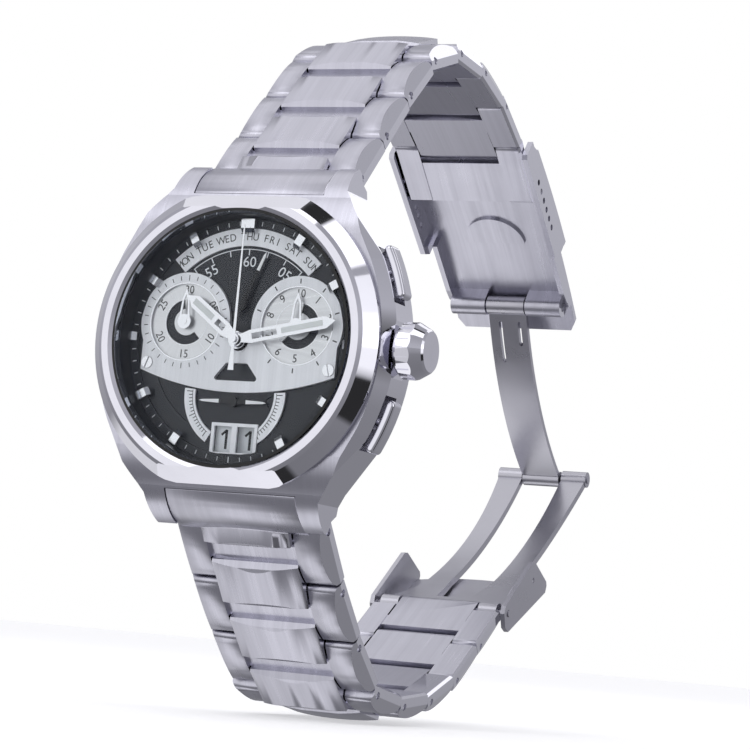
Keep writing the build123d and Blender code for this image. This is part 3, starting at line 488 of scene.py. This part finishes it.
def counter_printing():
    """Numbers on the counter discs and ticks on the rims round them."""
    build = bmesh.new()
    disc_level = surface("counter_discs")
    numbers, height = 4.2 * MM, 1.1 * MM
    for step, words in enumerate(("30", "05", "10", "15", "20", "25")):
        at = spot(LEFT_COUNTER, numbers, step * 60)
        add_text(build, words, at, height, upright(step * 60), disc_level)
    for step in range(10):
        words = "10" if step == 0 else str(step)
        at = spot(RIGHT_COUNTER, numbers, step * 36)
        add_text(build, words, at, height, upright(step * 36), disc_level)
        at = spot(RIGHT_COUNTER, 5.78 * MM, step * 36)
        add_bar(build, at, (0.16 * MM, 0.62 * MM), step * 36, MASK, MASK + INK_THICKNESS)
    for step in range(30):
        length = 0.72 if step % 5 == 0 else 0.55
        at = spot(LEFT_COUNTER, 5.75 * MM, step * 12)
        add_bar(build, at, (0.10 * MM, length * MM), step * 12, MASK, MASK + INK_THICKNESS)
    finish_piece("counter_printing", build, INK_BLACK, "head")


def counter_rims():
    """Polished steps round the two counters."""
    build = bmesh.new()
    proud = 0.03 * MM
    disc_level = surface("counter_discs")
    for centre in (LEFT_COUNTER, RIGHT_COUNTER):
        add_arc(build, centre, 5.0 * MM, 5.12 * MM, 0, 360, MASK - 0.3 * MM, MASK + proud, 96)
        add_arc(build, centre, 2.98 * MM, 3.05 * MM, 0, 360, disc_level, disc_level + proud, 72)
    finish_piece("counter_rims", build, LOOKS["hand_steel"], "head")


def lower_scales():
    """Ticks on the two brackets each side of the lower hand."""
    build = bmesh.new()
    level = DIAL + 0.3 * MM
    tick_step = 4
    for side in (-1, 1):
        ends = sorted((side * 86, side * 146))
        add_arc(build, BRACKET_CENTRE, 5.98 * MM, 6.04 * MM, *ends, level, level + INK_THICKNESS)
        for step in range(15):
            angle = side * (88 + step * tick_step)
            length = 0.85 if step % 7 == 0 else 0.5
            at = spot(BRACKET_CENTRE, (6.0 + length / 2) * MM, angle)
            add_bar(build, at, (0.10 * MM, length * MM), angle, level, level + INK_THICKNESS)
    finish_piece("lower_scales", build, INK_BLACK, "head")


def date_digits():
    """A numeral one on each date disc, drawn as a stem with a flag."""
    for name, node, body, x in (
        ("date_digit_tens", "date_tens_disc", "date_tens", -1.12),
        ("date_digit_units", "date_units_disc", "date_units", 2.12),
    ):
        build = bmesh.new()
        low = surface(node)
        high = low + INK_THICKNESS
        add_bar(build, ((x + 0.12) * MM, -12.7 * MM), (0.36 * MM, 2.5 * MM), 0, low, high)
        add_bar(build, ((x - 0.22) * MM, -11.82 * MM), (0.3 * MM, 0.95 * MM), 48, low, high)
        finish_piece(name, build, INK_BLACK, body)


def hand_strip(name, body, clockwise, start, end, width, level):
    """A raised strip of luminous paint along a hand."""
    build = bmesh.new()
    at = spot((0, 0), (start + end) / 2 * MM, clockwise)
    add_bar(build, at, (width * MM, (end - start) * MM), clockwise, level, level + 0.05 * MM)
    bmesh.ops.bevel(build, geom=build.edges, offset=0.02 * MM, segments=2, affect="EDGES")
    finish_piece(name, build, LUME, body)


def lume_strips():
    """Lume on the two main hands, at the angles where they stand at rest."""
    hour_angle, minute_angle = 306.5, 78.0
    hand_strip("hour_hand_lume", "hour", hour_angle, 4.6, 8.2, 0.8, surface("hour_hand"))
    hand_strip("minute_hand_lume", "minute", minute_angle, 6.6, 12.4, 0.72, surface("minute_hand"))


# ---- stage ----
CAMERA_PLACE = (0.1507, -0.3048, -0.0377)
CAMERA_RIGHT = (0.9184, 0.3850, 0.0914)
CAMERA_AHEAD = (-0.3933, 0.9134, 0.1052)


def look_camera():
    """The camera by its own axes, with the frame's centre off the lens axis."""
    right = Vector(CAMERA_RIGHT).normalized()
    ahead = Vector(CAMERA_AHEAD)
    ahead = (ahead - right * ahead.dot(right)).normalized()
    up = right.cross(ahead)
    data = bpy.data.cameras.new("camera")
    data.sensor_width = 36.0
    data.lens = 124.8
    data.shift_x = -0.0364
    data.shift_y = 0.0016
    data.clip_start = 0.01
    camera = bpy.data.objects.new("camera", data)
    bpy.context.scene.collection.objects.link(camera)
    turn = Matrix((right, up, -ahead)).transposed().to_4x4()
    camera.matrix_world = Matrix.Translation(CAMERA_PLACE) @ turn
    bpy.context.scene.camera = camera


def light(name, place, target, size, power):
    """A soft box aimed at a point."""
    data = bpy.data.lights.new(name, "AREA")
    data.shape = "RECTANGLE"
    data.size, data.size_y = size
    data.energy = power
    lamp = bpy.data.objects.new(name, data)
    bpy.context.scene.collection.objects.link(lamp)
    lamp.location = place
    lamp.rotation_euler = (Vector(target) - Vector(place)).to_track_quat("-Z", "Y").to_euler()


# Reflection zones of the studio: direction, cosines where its soft edge starts and ends, brightness.
ZONES = (
    ((-0.39, -0.91, 0.10), 0.80, 0.96, 1.05),
    ((0.12, -0.01, 0.99), 0.968, 0.980, 0.03),
    ((0.86, -0.31, -0.40), 0.970, 0.982, 0.03),
    ((0.00, -0.14, -0.98), 0.970, 0.982, 0.03),
    ((0.44, -0.12, 0.88), 0.965, 0.975, 1.6),
    ((-0.39, 0.15, 0.90), 0.90, 0.95, 0.95),
    ((-0.39, -0.01, -0.92), 0.93, 0.97, 1.1),
    ((-0.79, 0.20, -0.58), 0.88, 0.93, 0.8),
    ((0.98, 0.10, 0.15), 0.93, 0.97, 0.10),
    ((0.94, -0.30, 0.10), 0.95, 0.98, 1.2),
)


def studio_sky():
    """White backdrop to the camera; for reflections a grey tent with dark cards and bright panels."""
    world = bpy.data.worlds.new("studio")
    bpy.context.scene.world = world
    world.use_nodes = True
    nodes, links = world.node_tree.nodes, world.node_tree.links
    source = nodes.new("ShaderNodeTexCoord")
    split = nodes.new("ShaderNodeSeparateXYZ")
    links.new(source.outputs["Generated"], split.inputs["Vector"])
    ramp = nodes.new("ShaderNodeValToRGB")
    # grey of the tent from below (0) to overhead (1)
    stops = ((0.0, 0.22), (0.35, 0.27), (0.5, 0.40), (0.62, 0.55), (0.8, 0.46), (1.0, 0.38))
    for index, (place, grey) in enumerate(stops):
        stop = ramp.color_ramp.elements[index] if index < 2 else ramp.color_ramp.elements.new(place)
        stop.position = place
        stop.color = (grey, grey, grey * 1.07, 1)
    height = remap(nodes, links, split.outputs["Z"], 0.0, 1.0, -1.0, 1.0)
    links.new(height, ramp.inputs["Fac"])
    value = ramp.outputs["Color"]
    for toward, far, near, grey in ZONES:
        dot = nodes.new("ShaderNodeVectorMath")
        dot.operation = "DOT_PRODUCT"
        dot.inputs[1].default_value = Vector(toward).normalized()
        links.new(source.outputs["Generated"], dot.inputs[0])
        mask = remap(nodes, links, dot.outputs["Value"], 0.0, 1.0, far, near)
        mix = nodes.new("ShaderNodeMix")
        mix.data_type = "RGBA"
        mix.inputs["B"].default_value = (grey, grey, grey * 1.02, 1)
        links.new(mask, mix.inputs["Factor"])
        links.new(value, mix.inputs["A"])
        value = mix.outputs["Result"]
    links.new(value, nodes["Background"].inputs["Color"])
    plain = nodes.new("ShaderNodeBackground")
    plain.inputs["Color"].default_value = (1.0, 1.0, 1.0, 1)
    path = nodes.new("ShaderNodeLightPath")
    mix = nodes.new("ShaderNodeMixShader")
    links.new(path.outputs["Is Camera Ray"], mix.inputs["Fac"])
    links.new(nodes["Background"].outputs["Background"], mix.inputs[1])
    links.new(plain.outputs["Background"], mix.inputs[2])
    links.new(mix.outputs["Shader"], nodes["World Output"].inputs["Surface"])


def studio():
    """Pale floor and soft boxes."""
    mesh = bpy.data.meshes.new("floor")
    build = bmesh.new()
    bmesh.ops.create_circle(build, cap_ends=True, segments=64, radius=6.0)
    build.to_mesh(mesh)
    build.free()
    floor = bpy.data.objects.new("floor", mesh)
    floor.location.z = CAD_BOX[0][2] - 0.2 * MM
    pale = paint("floor", (0.9, 0.9, 0.91), 0.6, 300, 0.02)
    shader = pale.node_tree.nodes["Principled BSDF"]
    shader.inputs["Emission Color"].default_value = (1, 1, 1, 1)
    shader.inputs["Emission Strength"].default_value = 0.45
    mesh.materials.append(pale)
    bpy.context.scene.collection.objects.link(floor)
    floor.visible_glossy = False
    light("key", (-0.25, -0.55, 0.75), (0, 0.03, 0), (0.6, 0.6), 1.3)
    light("fill", (0.7, -0.35, 0.35), (0, 0.03, 0), (0.35, 0.6), 0.45)
    light("back", (0.1, 0.6, 0.5), (0, 0.06, 0), (0.6, 0.4), 0.6)
    bpy.context.scene.view_settings.view_transform = "Standard"


dress_nodes()
for node in SOFT_EDGED:
    soften(node, EDGE_WIDTH)
minute_track()
seconds_scale()
day_names()
counter_printing()
counter_rims()
lower_scales()
date_digits()
lume_strips()
look_camera()
studio()
studio_sky()
